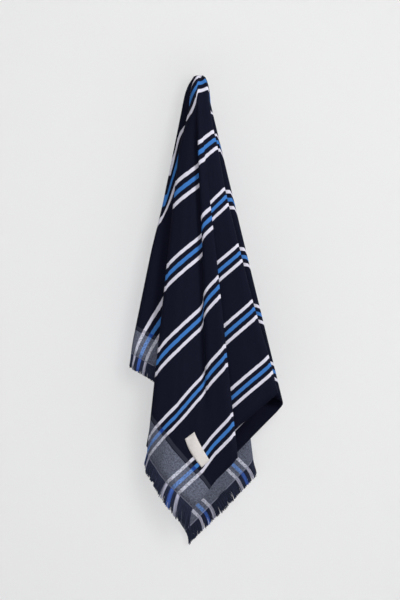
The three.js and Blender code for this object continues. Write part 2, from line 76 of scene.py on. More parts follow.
# One row for each edge of a fold, in order round the towel. `flat` is its direction in the flat
# cloth in degrees from U towards V, x and y are where it hangs, and `pull` is less than 1 where
# the cloth is drawn up.
FOLD_COLUMNS = ("name", "top_flat", "top_x", "top_y", "flat", "x", "y", "pull")
FRONT_FOLDS = (
    ("right edge", -27.1, 15.2, -11.4, -27.1, 117, -19.0, 1),
    ("right flank rim", -25.2, 14.8, -13.4, -25.2, 107, -19.2, 1),
    ("right tuck in", -30, 14.5, -15.0, -4, 2, -18.5, 1),
    ("right tuck out", -25, 13.2, -18.8, -1.5, 2, -24.5, 1),
    ("right tuck rim", 24, 11.0, -20.4, 22.3, 108, -41.0, 1.006),
    ("right ridge", 27, 7.2, -24.0, 23.4, 112, -47.9, 1.006),
    ("right panel end", 33, -0.2, -24.6, 35.6, 45, -55.6, 1.008),
    ("middle tuck", 33.3, -0.7, -24.7, 36.4, 43.5, -55.8, 1.008),
    ("middle tuck rim", 33.6, -1.3, -24.8, 38.2, 42, -56.0, 1.008),
    ("middle ridge", 34, -1.9, -24.9, 38.9, 40.5, -56.2, 1.008),
    ("centre fold front", 37, -3.4, -24.8, 43.3, 10, -58.2, 1.008),
    ("centre fold back", 56, -5.5, -24.4, 44.9, 9, -58.1, 1.008),
    ("left bend", 66, -11.4, -19.0, 49.5, -32.5, -55.5, 1.005),
    ("left ridge", 72, -23.6, -12.5, 54, -69, -51.9, 1.003),
    ("left tuck rim", 73.5, -24.2, -8.9, 54.9, -68, -45.3, 1),
    ("left tuck in", 75, -24.5, -8.1, 65, -8, -40.0, 0.95),
    ("left tuck out", 88, -24.8, -4.3, 66.2, -8, -33.5, 0.93),
    ("wing end", 97, -25.0, -0.6, 80, -109, -29.9, 0.905),
    ("wing back", 100, -24.8, 2.6, 82.5, -110, -18.9, 0.905),
    ("flank", 102, -22.8, 12.0, 88.5, -98, 37.5, 0.905),
    ("back panel", 104, -19.7, 18.0, 90, -85, 50.5, 0.91),
    ("back tuck in", 112, -9.0, 20.2, 101, 22, 51.5, 0.93),
    ("back tuck out", 113, -7.5, 23.8, 102.3, 22, 57.5, 0.935),
    ("back ridge rim", 117, -3.0, 24.3, 107.5, -44, 58.5, 0.95),
    ("back ridge", 118, -1.5, 27.9, 108.8, -44, 65.5, 0.955),
    ("rear fold back", 126, 9.7, 26.6, 126, 63, 60.0, 1),
    ("rear fold front", 128, 14.5, 23.0, 127.6, 67, 53.0, 1.004),
    ("rear curl", 133, 15.0, 21.3, 137.4, -10.5, 40.6, 1.006),
    ("rear panel end", 138, 15.2, 19.6, 144.6, -44, 35.5, 1.004),
)

# What holds over only part of the drop. Each row shifts one fold by x, y and flat direction, from
# `start` fully at `full`, until `fades`, down to nothing at `gone`. One that grows goes on with
# the reach.
LATE_COLUMNS = ("name", "x", "y", "flat", "grows", "start", "full", "fades", "gone")
LATE_FOLDS = (
    ("right edge", 0, 0, -43, 0, -2, -1, 58, 98),
    ("right flank rim", 0, 0, -38, 0, -2, -1, 58, 98),
    ("right flank rim", -12, 0, 0, 0, 30, 110, 200, 472),
    ("right tuck rim", 1.8, 0, 0, 0, -2, -1, 47, 94),
    ("right tuck rim", -4.3, 0, 0, 0, 110, 200, 340, 480),
    ("right ridge", 5, 0, 0, 0, -2, -1, 47, 94),
    ("right ridge", -4.3, 0, 0, 0, 110, 200, 340, 480),
    ("right panel end", -23, 12, 0, 1, 150, 300, 900, 950),
    ("middle tuck", -21.5, 5.2, 0, 1, 150, 300, 900, 950),
    ("middle tuck rim", 1, -0.6, 0, 1, 150, 300, 900, 950),
    ("middle ridge", 3.5, -6.6, 0, 1, 150, 300, 900, 950),
    ("centre fold front", -3.4, 0, 0, 0, 47, 130, 150, 330),
    ("centre fold front", 0, -1.5, 0, 0, 47, 110, 440, 545),
    ("centre fold front", 9, -1.0, -1.1, 0, 480, 600, 900, 950),
    ("centre fold back", 10, 0, 0, 0, 47, 110, 150, 440),
    ("centre fold back", 0, 9.5, 0, 0, 47, 110, 440, 545),
    ("centre fold back", 0, 0, -1.7, 0, 380, 545, 900, 950),
    ("centre fold back", -9, 0.3, 1.25, 0, 480, 600, 900, 950),
    ("left bend", -14, 0, 0, 0, 520, 650, 900, 950),
    ("left ridge", 8.7, 0, 0, 0, -2, -1, 47, 130),
    ("left ridge", 0, 26, 0, 0, 540, 625, 900, 950),
    ("left tuck rim", 9, 0, 0, 0, -2, -1, 47, 130),
    ("left tuck rim", 0, 26, 0, 0, 540, 625, 900, 950),
    ("left tuck in", 9, 0, 0, 0, -2, -1, 47, 130),
    ("left tuck out", 9, 0, 0, 0, -2, -1, 47, 130),
    ("left tuck out", 0, 0, 13, 0, -2, -1, 50, 105),
    ("left tuck out", 0, 0, 4.2, 0, 230, 320, 390, 520),
    ("wing end", -3, 0, 0, 0, 200, 300, 430, 480),
    ("wing end", 0, 0, 2.4, 0, 90, 160, 210, 290),
    ("wing end", 0, 0, 9, 0, -2, -1, 50, 110),
    ("wing back", -3, 0, 0, 0, 200, 300, 430, 480),
    ("wing back", 0, 0, 7, 0, -2, -1, 50, 110),
    ("flank", 0, 0, 6, 0, -2, -1, 50, 110),
    ("back panel", 0, 0, 5, 0, -2, -1, 50, 110),
)

# The pleats inside the bundle lie one in front of another, from the rear panel forwards. Each
# also moves forwards across its width, by the share PLEAT_LEAN of their spacing.
PLEAT_COLUMNS = ("start_flat", "start_x", "end_flat", "end_x")
INNER_PLEATS = (
    (145.8, -44, 172, 94),
    (173.3, 95, 206.5, -62),
    (207.8, -62, 233, 106),
    (234.3, 107, 257, -86),
    (258.3, -86, 282, 110),
    (283.3, 111, 304, -72),
    (305.3, -72, 331.9, 112),
)
PLEAT_TOP_FLAT = 140
PLEAT_TOP_WIDTH = 17
PLEAT_TOP_TURN = 21
PLEAT_TOP_X = 15.2
PLEAT_TOP_Y = 17.6
PLEAT_TOP_SPACING = 4.2
PLEAT_Y = 29.5
PLEAT_SPACING = 6.1
PLEAT_LEAN = 0.1

# How softly the cloth turns. A fold's bend takes up to SOFT_BEND of the cloth on each side of
# it, but never so much that the inside of the bend is tighter than INSIDE_RADIUS.
SOFT_BEND = 11.0
INSIDE_RADIUS = 1.7

# The form of the panels between two folds, named for the first: how far each bows outwards and
# how high its soft ripples stand, at LOW_REACH, with the number of ripples across it. The corners
# that hang free below their neighbours also curl, from CURL_START on. Ripples come in below the top
# and sway as they go down, each sway with its size, its length and its turn from panel to panel.
PANEL_COLUMNS = ("name", "bow", "ripple", "count", "curl")
PANELS = (
    ("right tuck rim", 0.5, 0.2, 1, 0),
    ("right ridge", 1.6, 0.9, 2.6, 0),
    ("middle ridge", 0.2, 0.5, 1, 0),
    ("centre fold back", 0.4, 0.8, 1.5, 0),
    ("left bend", 1.2, 0.6, 1.2, 0),
    ("left tuck out", 0.6, 0.8, 3.2, 0),
    ("wing back", 1.5, 1.0, 1.8, 0),
    ("flank", 0.8, 0.2, 1, 0),
    ("back panel", 1.4, 1.0, 2.4, 0),
    ("back ridge", 1.8, 1.1, 2.7, 0),
    ("rear fold front", 0.3, 0.5, 2.2, 0),
    ("pleat 3 start", 0, 0.4, 1.6, -16),
    ("pleat 7 start", 0, 0.4, 1.4, 14),
)
CURL_START = 490.0
CURL_FULL = 680.0
FORM_START = 40.0
FORM_FULL = 160.0
MOST_GROWTH = 1.35
SWAYS = ((0.9, 97.0, 1.7), (0.5, 41.0, 0.6))

# The mesh: samples across a bend, spacing of columns and rows on the open cloth. Columns keep
# clear of the corners and of one another by shares of a panel, and TANGENT_STEP is such a share
# too, over which the direction of a panel is taken.
BEND_SAMPLES = 4
COLUMN_SPACING = 12.0
CAP_ROWS = 9
DROP_ROWS = 36
CORNER_CLEARANCE = 0.03
COLUMN_CLEARANCE = 1e-4
TANGENT_STEP = 0.004

# A normal is taken from points at least this far apart, up to so many columns away, and the
# cloth's own directions from points this far away along U and V.
NORMAL_SPAN = 1.5
NORMAL_COLUMNS = 5
STEP_U = 1.5
STEP_V = 4.0

# The searches for the cloth's edge in a direction, and for the place of a flat point.
EDGE_GUESS = 500.0
EDGE_ROUNDS = 8
HALVINGS = 40

# Stripes: sets of white, blue and white on navy, which run the length of the towel.
STRIPE_PERIOD = 83.3
FIRST_SET = 14.1
BLUE_HALF = 2.75
WHITE_CENTRE = 11.6
WHITE_HALF = 2.45
STRIPE_SOFTNESS = 0.25

# The flat-woven band beside each fringe, from its inner side out: where each part begins along
# the towel, and how gradually.
BAND_COLUMNS = ("part", "start", "softness")
BAND_PARTS = (
    ("border", 440.0, 0.8),
    ("line", 445.7, 0.6),
    ("band", 447.2, 0.6),
    ("edge", 487.0, 0.6),
)

# Threads, drawn a little coarser than the half millimetre of the real ones, so that they show.
WARP_PITCH = 0.9
WEFT_PITCH = 0.8
TWIST_PITCH = 1.6
TAPE_PITCH = 0.7

# Fringe. The strands of a lock share a lean along the edge, a lift off the cloth and a length, and
# each strand has a little of its own. They start inside the edge and droop more towards the tip.
STRAND_PITCH = 0.95
STRAND_LENGTH = 23.0
STRAND_RADIUS = 0.62
STRAND_TIP = 0.85
STRAND_ROOT = 1.5
STRAND_RINGS = 5
STRAND_SIDES = 4
STRAND_SIDEWAYS = Vector((0.3, 1, 0.1))
LOCK_STRANDS = (3, 8)
LOCK_LEAN = 0.017
LOCK_LIFT = 0.025
LOCK_LENGTH = 0.03
LOCK_GATHER = 0.02
OWN_LEAN = 0.02
OWN_LENGTH = (0.93, 1.04)
OWN_PITCH = (0.85, 1.15)
ROOT_DROOP = 0.12
TIP_DROOP = 0.55

# At one end of the fringe the strands hang longer and straighter, and at the other they flare.
HANG_START = SELVAGE_RIGHT - 75
HANG_FULL = SELVAGE_RIGHT - 20
HANG_LENGTH = 0.6
HANG_DROOP = 0.4
FLARE_START = SELVAGE_LEFT + 80
FLARE = 0.2

# Label: a bare rectangle of tape, sewn on near the front corner, that puffs up inside its seam.
LABEL_WIDTH = 52.0
LABEL_HEIGHT = 20.0
LABEL_THICKNESS = 0.6
LABEL_GAP = 0.15
LABEL_U = 413.7
LABEL_V = 418.5
LABEL_TILT = 12.0
LABEL_BOW = 2.0
LABEL_PUFF = 0.55
PUFF_START = 0.02
PUFF_FULL = 0.2
LABEL_STEPS = (26, 10)
LABEL_BASE = FACE_OFFSETS["front"] + LABEL_GAP
SEAM_INSET = 1.7
SEAM_HEIGHT = LABEL_BASE + LABEL_THICKNESS + 0.05
STITCH_LENGTH = 2.6
STITCH_GAP = 0.9
STITCH_RADIUS = 0.22
STITCH_RISE = 0.7
STITCH_ENDS = (0.13, 0.87)


def rows_to_dicts(columns, rows):
    return [dict(zip(columns, row)) for row in rows]


def inner_pleat_folds():
    folds = []
    for i, pleat in enumerate(rows_to_dicts(PLEAT_COLUMNS, INNER_PLEATS)):
        top_y = PLEAT_TOP_Y - i * PLEAT_TOP_SPACING
        y = PLEAT_Y - i * PLEAT_SPACING
        top_flat = PLEAT_TOP_FLAT + i * PLEAT_TOP_TURN
        start = (f"pleat {i + 1} start", top_flat, PLEAT_TOP_X, top_y,
                 pleat["start_flat"], pleat["start_x"], y, 1)
        end = (f"pleat {i + 1} end", top_flat + PLEAT_TOP_WIDTH,
               PLEAT_TOP_X, top_y - PLEAT_LEAN * PLEAT_TOP_SPACING,
               pleat["end_flat"], pleat["end_x"], y - PLEAT_LEAN * PLEAT_SPACING, 1)
        folds += rows_to_dicts(FOLD_COLUMNS, (start, end))
    return folds


FOLDS = rows_to_dicts(FOLD_COLUMNS, FRONT_FOLDS) + inner_pleat_folds()
FOLD_COUNT = len(FOLDS)
LATE_BY_FOLD = {}
for late_row in rows_to_dicts(LATE_COLUMNS, LATE_FOLDS):
    LATE_BY_FOLD.setdefault(late_row["name"], []).append(late_row)
PANEL_BY_FOLD = {row["name"]: row for row in rows_to_dicts(PANEL_COLUMNS, PANELS)}


def mix(a, b, share):
    return a + (b - a) * share


def smoothstep(value, start, end):
    share = min(1.0, max(0.0, (value - start) / (end - start)))
    return share * share * (3 - 2 * share)


def late_amount(late, reach):
    grown = smoothstep(reach, late["start"], late["full"])
    return grown * (1 - smoothstep(reach, late["fades"], late["gone"]))


def fold_flat_angle(index, reach):
    """Flat direction of one fold, in degrees that keep growing round after round."""
    fold = FOLDS[index % FOLD_COUNT]
    drift = math.exp(-max(0.0, reach - TOP_REACH) / FLAT_DRIFT)
    angle = mix(fold["flat"], fold["top_flat"], drift) + 360 * (index // FOLD_COUNT)
    for late in LATE_BY_FOLD.get(fold["name"], ()):
        angle += late["flat"] * late_amount(late, reach)
    return angle


def flat_angle(place, reach):
    """Flat direction of a place in the round of folds."""
    index = math.floor(place)
    angle = mix(fold_flat_angle(index, reach), fold_flat_angle(index + 1, reach), place - index)
    turn = CAP_TWIST * (1 - smoothstep(reach, 0, CAP_TWIST_REACH))
    away = (angle - CAP_TWIST_MIDDLE + 180) % 360 - 180
    return angle + turn * math.exp(-(away / CAP_TWIST_SPREAD) ** 2)


def pull_at(place):
    index = math.floor(place)
    before = FOLDS[index % FOLD_COUNT]["pull"]
    after = FOLDS[(index + 1) % FOLD_COUNT]["pull"]
    return mix(before, after, place - index)


def fold_point(index, reach):
    """Where one fold passes at a reach, with the shifts of the late folds."""
    fold = FOLDS[index % FOLD_COUNT]
    share = (reach - TOP_REACH) / (LOW_REACH - TOP_REACH)
    x = mix(fold["top_x"], fold["x"], share)
    y = mix(fold["top_y"], fold["y"], share)
    for late in LATE_BY_FOLD.get(fold["name"], ()):
        amount = late_amount(late, reach)
        if late["grows"]:
            amount *= reach / LOW_REACH
        x += late["x"] * amount
        y += late["y"] * amount
    return Vector((x, y))


def bend_arms(before, after):
    """How much cloth a bend takes on each side, from the lengths of the two stretches."""
    arm_before = min(SOFT_BEND, before / 2)
    arm_after = min(SOFT_BEND, after / 2)
    short = min(arm_before, arm_after)
    longest = max(short, 2 * short * short / INSIDE_RADIUS)
    return min(arm_before, longest), min(arm_after, longest)


def section_point(place, reach):
    """Where the round of folds passes at a reach: straight between folds, bent at each."""
    nearest = round(place)
    offset = place - nearest
    corner = fold_point(nearest, reach)
    before = fold_point(nearest - 1, reach)
    after = fold_point(nearest + 1, reach)
    length_before = (corner - before).length
    length_after = (corner - after).length
    arm_before, arm_after = bend_arms(length_before, length_after)
    neighbour, length, arm = after, length_after, arm_after
    if offset < 0:
        neighbour, length, arm = before, length_before, arm_before
    along = abs(offset) * length
    if along >= arm:
        return corner.lerp(neighbour, abs(offset))
    enter = corner.lerp(before, arm_before / length_before)
    leave = corner.lerp(after, arm_after / length_after)
    t = 0.5 + math.copysign(0.5 * along / arm, offset)
    return enter * (1 - t) ** 2 + corner * 2 * t * (1 - t) + leave * t ** 2


def panel_form(place, reach):
    """How far a panel stands out of the straight line between its folds."""
    index = math.floor(place)
    panel = PANEL_BY_FOLD.get(FOLDS[index % FOLD_COUNT]["name"])
    if panel is None:
        return 0.0
    share = place - index
    rim = math.sin(math.pi * share)
    growth = min(MOST_GROWTH, reach / LOW_REACH) * smoothstep(reach, FORM_START, FORM_FULL)
    sway = sum(size * math.sin(reach / length + turn * index) for size, length, turn in SWAYS)
    ripple = math.sin(2 * math.pi * panel["count"] * share + sway)
    curl = panel["curl"] * smoothstep(reach, CURL_START, CURL_FULL)
    return rim * (growth * (panel["bow"] + panel["ripple"] * ripple) + curl)


def rounded_off(rim, radius, slope):
    """How far from the middle the top is, where it leaves with a slope and bends to the rim."""
    width = max(0.5, abs(rim))
    return rim * math.expm1(-slope * radius / width) / math.expm1(-slope * TOP_REACH / width)


def cap_point(place, radius):
    """A point of the top, where the cloth spreads from the hanging point to the first folds."""
    rim = hung_point(place, TOP_REACH)
    x = rounded_off(rim.x, radius, CAP_SLOPE)
    y = rounded_off(rim.y, radius, CAP_DEPTH_SLOPE)
    return Vector((x, y, -math.sqrt(max(0.0, radius * radius - x * x - y * y))))


def hung_point(place, radius):
    """A point of the hung towel, midway between its two layers."""
    if radius < TOP_REACH:
        return cap_point(place, radius)
    reach = TOP_REACH + (radius - TOP_REACH) * pull_at(place)
    section = section_point(place, reach)
    form = panel_form(place, reach)
    if form:
        along = (section_point(place + TANGENT_STEP, reach)
                 - section_point(place - TANGENT_STEP, reach))
        section += Vector((along.y, -along.x)).normalized() * -form
    drop = math.sqrt(reach * reach - section.length_squared)
    return Vector((section.x, section.y, -drop))


def edge_radius(degrees):
    """Distance from the hanging point to the edge of the folded cloth in a flat direction."""
    cos = math.cos(math.radians(degrees))
    sin = math.sin(math.radians(degrees))
    along_u = (SELVAGE_RIGHT if cos > 0 else SELVAGE_LEFT) / (cos or 1e-9)
    along_v = (FRINGED_END if sin > 0 else MIDDLE_FOLD) / (sin or 1e-9)
    return min(along_u, along_v)


def edge_radius_at(place):
    """The same for a place in the round, whose flat direction drifts with the reach."""
    radius = EDGE_GUESS
    for _ in range(EDGE_ROUNDS):
        radius = edge_radius(flat_angle(place, radius))
    return radius


def place_of(u, v):
    """The place in the round at which a flat point hangs."""
    degrees = math.degrees(math.atan2(v, u))
    if degrees < FOLDS[0]["flat"]:
        degrees += 360
    radius = math.hypot(u, v)
    low, high = 0.0, float(FOLD_COUNT)
    for _ in range(HALVINGS):
        middle = (low + high) / 2
        if flat_angle(middle, radius) < degrees:
            low = middle
        else:
            high = middle
    return (low + high) / 2


def cloth_point(u, v):
    return hung_point(place_of(u, v), math.hypot(u, v))


def flat_point(place, radius):
    angle = math.radians(flat_angle(place, radius))
    return radius * math.cos(angle), radius * math.sin(angle)


CORNERS = (
    ("front", SELVAGE_RIGHT, FRINGED_END),
    ("rear", SELVAGE_LEFT, FRINGED_END),
    ("fold left", SELVAGE_LEFT, MIDDLE_FOLD),
    ("fold right", SELVAGE_RIGHT, MIDDLE_FOLD),
)
CORNER_PLACES = {name: place_of(u, v) for name, u, v in CORNERS}


def column_places():
    """Columns of the mesh: close together round each bend and wide apart between."""
    places = []
    for i in range(FOLD_COUNT):
        here = fold_point(i, LOW_REACH)
        before = (here - fold_point(i - 1, LOW_REACH)).length
        after = (fold_point(i + 1, LOW_REACH) - here).length
        arm_before, arm_after = bend_arms(before, after)
        places.append(float(i))
        for sample in range(1, BEND_SAMPLES + 1):
            places.append(i - sample / BEND_SAMPLES * arm_before / before)
            places.append(i + sample / BEND_SAMPLES * arm_after / after)
        beyond = (fold_point(i + 2, LOW_REACH) - fold_point(i + 1, LOW_REACH)).length
        next_arm = bend_arms(after, beyond)[0]
        open_length = after - arm_after - next_arm
        steps = math.ceil(open_length / COLUMN_SPACING)
        for step in range(1, steps):
            places.append(i + (arm_after + open_length * step / steps) / after)
    places = sorted(place % FOLD_COUNT for place in places)
    corners = list(CORNER_PLACES.values())
    kept = []
    for place in places:
        clear = all(abs(place - corner) > CORNER_CLEARANCE for corner in corners)
        if clear and (not kept or place - kept[-1] > COLUMN_CLEARANCE):
            kept.append(place)
    return sorted(kept + corners)


def row_radii(place):
    edge = edge_radius_at(place)
    cap = [TOP_REACH * (row + 1) / CAP_ROWS for row in range(CAP_ROWS)]
    drop = [mix(TOP_REACH, edge, (row + 1) / DROP_ROWS) for row in range(DROP_ROWS)]
    return cap + drop


def outward_normals(grid):
    """Outward direction at each grid point, from neighbours at least a cloth's width away."""
    count = len(grid)
    rows = len(grid[0])
    normals = []
    for column in range(count):
        line = []
        for row in range(rows):
            here = grid[column][row]
            step = 1
            across = grid[(column + 1) % count][row] - grid[column - 1][row]
            while across.length < NORMAL_SPAN and step < NORMAL_COLUMNS:
                step += 1
                across = grid[(column + step) % count][row] - grid[(column - step) % count][row]
            up = grid[column][row - 1] if row else Vector((0, 0, 0))
            down = grid[column][min(row + 1, rows - 1)]
            line.append(across.cross(down - up).normalized())
        normals.append(line)
    return normals


class MeshParts:
    """Vertices with a flat place each, and faces, in millimetres."""

    def __init__(self):
        self.points = []
        self.flats = []
        self.faces = []

    def vertex(self, point, flat):
        self.points.append(point)
        self.flats.append(flat)
        return len(self.points) - 1

    def build(self, name, material):
        mesh = bpy.data.meshes.new(name)
        mesh.from_pydata([point * MM for point in self.points], [], self.faces)
        layer = mesh.uv_layers.new(name="flat cloth")
        for loop in mesh.loops:
            u, v = self.flats[loop.vertex_index]
            layer.data[loop.index].uv = (u * MM, v * MM)
        mesh.polygons.foreach_set("use_smooth", [True] * len(mesh.polygons))
        mesh.materials.append(material)
        mesh.validate()
        piece = bpy.data.objects.new(name, mesh)
        bpy.context.scene.collection.objects.link(piece)
        return piece


def add_cloth_face(parts, columns, distance, faces_out):
    """One face of the doubled cloth. Returns the vertices along its edge."""
    apex = parts.vertex(Vector((0, 0, distance)), (0.0, 0.0))
    rows = []
    for points, normals, flats in columns:
        rows.append([parts.vertex(point + normal * distance, flat)
                     for point, normal, flat in zip(points, normals, flats)])
    for i, column in enumerate(rows):
        after = rows[(i + 1) % len(rows)]
        faces = [(apex, after[0], column[0])]
        for row in range(len(column) - 1):
            faces.append((column[row], after[row], after[row + 1], column[row + 1]))
        parts.faces += faces if faces_out else [face[::-1] for face in faces]
    return [column[-1] for column in rows]


def add_cloth_edges(parts, edges, columns, places):
    """Joins the layers along the middle fold, and closes each layer along its other edges."""
    count = len(places)
    tips = {}
    first = places.index(CORNER_PLACES["fold left"])
    last = places.index(CORNER_PLACES["fold right"])
    for i in range(first, last + 1):
        points, _, flats = columns[i]
        along = (points[-1] - points[-2]).normalized()
        outer = parts.vertex(points[-1] + along * FACE_OFFSETS["front"], flats[-1])
        inner = parts.vertex(points[-1] + along * FACE_OFFSETS["front_inside"], flats[-1])
        tips[i] = (outer, inner)
    for i in range(count):
        j = (i + 1) % count
        front, front_inside = edges["front"], edges["front_inside"]
        back, back_inside = edges["back"], edges["back_inside"]
        if first <= i < last:
            parts.faces += [
                (front[i], front[j], tips[j][0], tips[i][0]),
                (tips[i][0], tips[j][0], back[j], back[i]),
                (front_inside[j], front_inside[i], tips[i][1], tips[j][1]),
                (tips[j][1], tips[i][1], back_inside[i], back_inside[j]),
            ]
        else:
            parts.faces += [
                (front[i], front[j], front_inside[j], front_inside[i]),
                (back_inside[i], back_inside[j], back[j], back[i]),
            ]
    for i, flip in ((first, False), (last, True)):
        outer = (edges["front"][i], tips[i][0], edges["back"][i])
        inner = (edges["front_inside"][i], tips[i][1], edges["back_inside"][i])
        for k in range(2):
            face = (outer[k], outer[k + 1], inner[k + 1], inner[k])
            parts.faces.append(face[::-1] if flip else face)


def make_towel(material):
    places = column_places()
    radii = [row_radii(place) for place in places]
    grid = [[hung_point(place, radius) for radius in column]
            for place, column in zip(places, radii)]
    flats = [[flat_point(place, radius) for radius in column]
             for place, column in zip(places, radii)]
    columns = list(zip(grid, outward_normals(grid), flats))
    parts = MeshParts()
    edges = {
        name: add_cloth_face(parts, columns, offset, name in ("front", "back_inside"))
        for name, offset in FACE_OFFSETS.items()
    }
    add_cloth_edges(parts, edges, columns, places)
    return parts.build("towel_cloth", material)


def cloth_frame(u, v):
    """A point of the hung cloth, its outward direction, and its directions along U and V."""
    here = cloth_point(u, v)
    across = (cloth_point(u + STEP_U, v) - cloth_point(u - STEP_U, v)).normalized()
    along = (here - cloth_point(u, v - STEP_V)).normalized()
    normal = along.cross(across).normalized()
    return here, normal, across, along


def add_strand(parts, path, flat_u):
    """A tapering thread along a path, with closed ends."""
    rings = []
    for i, centre in enumerate(path):
        ahead = path[min(i + 1, len(path) - 1)] - path[max(i - 1, 0)]
        side = ahead.cross(STRAND_SIDEWAYS).normalized()
        other = ahead.cross(side).normalized()
        share = i / (len(path) - 1)
        radius = STRAND_RADIUS * mix(1.0, STRAND_TIP, share)
        flat = (flat_u, FRINGED_END + share * STRAND_LENGTH)
        ring = []
        for k in range(STRAND_SIDES):
            angle = 2 * math.pi * k / STRAND_SIDES
            spoke = side * math.cos(angle) + other * math.sin(angle)
            ring.append(parts.vertex(centre + spoke * radius, flat))
        rings.append(ring)
    for ring, after in zip(rings, rings[1:]):
        for k in range(STRAND_SIDES):
            j = (k + 1) % STRAND_SIDES
            parts.faces.append((ring[k], ring[j], after[j], after[k]))
    parts.faces.append(tuple(rings[0][::-1]))
    parts.faces.append(tuple(rings[-1]))


def make_fringe(name, shift, material, seed):
    """Fine strands that leave the cloth square to its edge and droop, gathered in locks."""
    dice = random.Random(seed)
    parts = MeshParts()
    u = SELVAGE_LEFT + STRAND_RADIUS
    down = Vector((0, 0, -1))
    while u < SELVAGE_RIGHT - STRAND_RADIUS:
        strands = dice.randint(*LOCK_STRANDS)
        lock_lean = dice.gauss(0, LOCK_LEAN)
        lock_lift = dice.gauss(0, LOCK_LIFT)
        lock_length = dice.gauss(1.0, LOCK_LENGTH)
        for i in range(strands):
            if u > SELVAGE_RIGHT - STRAND_RADIUS:
                break
            point, normal, across, along = cloth_frame(u, FRINGED_END)
            inward = LOCK_GATHER * ((strands - 1) / 2 - i) / strands
            flare = FLARE * smoothstep(u, FLARE_START, SELVAGE_LEFT)
            lean = across * (lock_lean + inward - flare + dice.gauss(0, OWN_LEAN))
            lift = normal * (lock_lift + dice.gauss(0, OWN_LEAN))
            length = STRAND_LENGTH * lock_length * dice.uniform(*OWN_LENGTH)
            hang = smoothstep(u, HANG_START, HANG_FULL)
            length *= 1 + HANG_LENGTH * hang
            step = length / (STRAND_RINGS - 1)
            path = [point + normal * shift - along * STRAND_ROOT]
            for ring in range(1, STRAND_RINGS):
                share = ring / (STRAND_RINGS - 1)
                droop = mix(ROOT_DROOP, TIP_DROOP, share) + HANG_DROOP * hang
                heading = along * (1 - droop) + down * droop + (lean + lift) * share * 2
                path.append(path[-1] + heading.normalized() * step)
            add_strand(parts, path, u)
            u += STRAND_PITCH * dice.uniform(*OWN_PITCH)
    return parts.build(name, material)


def label_place(along_width, along_height):
    """Where a point of the tape lies on the flat cloth. It is sewn on askew and a little bowed."""
    cos = math.cos(math.radians(LABEL_TILT))
    sin = math.sin(math.radians(LABEL_TILT))
    along_height += LABEL_BOW * (1 - (2 * along_width / LABEL_WIDTH) ** 2)
    return (LABEL_U + along_width * cos - along_height * sin,
            LABEL_V + along_width * sin + along_height * cos)


def add_stitch(parts, start, end, normal):
    """One stitch: a short thread that stands half out of the tape."""
    middle = (start + end) / 2 + normal * STITCH_RADIUS
    side = (end - start).cross(normal).normalized() * STITCH_RADIUS
    ring = [middle + side, middle + normal * STITCH_RADIUS * STITCH_RISE, middle - side]
    ids = [parts.vertex(point, (0.0, 0.0)) for point in [start, end] + ring]
    first, last, left, top, right = ids
    parts.faces += [
        (first, left, top), (left, last, top), (first, top, right), (top, last, right),
        (first, right, left), (right, last, left),
    ]


def make_label(material):
    """The bare tape, which follows the cloth."""
    parts = MeshParts()
    steps_u, steps_v = LABEL_STEPS
    grid = []
    for i in range(steps_u + 1):
        column = []
        for j in range(steps_v + 1):
            across_share = i / steps_u - 0.5
            along_share = j / steps_v - 0.5
            flat = (across_share * LABEL_WIDTH, along_share * LABEL_HEIGHT)
            point, normal, _, _ = cloth_frame(*label_place(*flat))
            from_edge = min(0.5 - abs(across_share), 0.4 - 0.8 * abs(along_share))
            puff = LABEL_PUFF * smoothstep(from_edge, PUFF_START, PUFF_FULL)
            column.append((point, normal, puff, flat))
        grid.append(column)
    top = [[parts.vertex(p + n * (LABEL_BASE + LABEL_THICKNESS + puff), flat)
            for p, n, puff, flat in column] for column in grid]
    under = [[parts.vertex(p + n * (LABEL_BASE + puff), flat)
              for p, n, puff, flat in column] for column in grid]
    for i in range(steps_u):
        for j in range(steps_v):
            quad = ((i, j), (i, j + 1), (i + 1, j + 1), (i + 1, j))
            parts.faces.append(tuple(top[a][b] for a, b in quad)[::-1])
            parts.faces.append(tuple(under[a][b] for a, b in quad))
    for i in range(steps_u):
        parts.faces.append((top[i][0], top[i + 1][0], under[i + 1][0], under[i][0])[::-1])
        parts.faces.append((top[i][-1], top[i + 1][-1], under[i + 1][-1], under[i][-1]))
    for j in range(steps_v):
        parts.faces.append((top[0][j], top[0][j + 1], under[0][j + 1], under[0][j]))
        parts.faces.append((top[-1][j], top[-1][j + 1], under[-1][j + 1], under[-1][j])[::-1])
    return parts.build("label_tape", material)


def make_label_seam(material):
    """The stitches that run round the tape, a little in from its edge."""
    parts = MeshParts()
    half_u = LABEL_WIDTH / 2 - SEAM_INSET
    half_v = LABEL_HEIGHT / 2 - SEAM_INSET
    sides = (
        ((-half_u, -half_v), (half_u, -half_v)), ((half_u, -half_v), (half_u, half_v)),
        ((half_u, half_v), (-half_u, half_v)), ((-half_u, half_v), (-half_u, -half_v)),
    )
    for (u0, v0), (u1, v1) in sides:
        length = math.hypot(u1 - u0, v1 - v0)
        count = round(length / (STITCH_LENGTH + STITCH_GAP))
        for i in range(count):
            ends = []
            for end in STITCH_ENDS:
                share = (i + end) / count
                place = label_place(mix(u0, u1, share), mix(v0, v1, share))
                point, normal, _, _ = cloth_frame(*place)
                ends.append(point + normal * SEAM_HEIGHT)
            add_stitch(parts, ends[0], ends[1], normal)
    return parts.build("label_seam", material)


def linear(hex_colour):
    """An sRGB hex colour as linear RGBA."""
    values = [int(hex_colour[i:i + 2], 16) / 255 for i in (1, 3, 5)]
    straight = [v / 12.92 if v <= 0.04045 else ((v + 0.055) / 1.055) ** 2.4 for v in values]
    return (*straight, 1.0)


def add(tree, kind, settings=None, inputs=None):
    """Adds a node with its settings, and fills or links its inputs by name or number."""
    node = tree.nodes.new(kind)
    for name, value in (settings or {}).items():
        setattr(node, name, value)
    for name, value in (inputs or {}).items():
        if isinstance(value, bpy.types.NodeSocket):
            tree.links.new(value, node.inputs[name])
        else:
            node.inputs[name].default_value = value
    return node


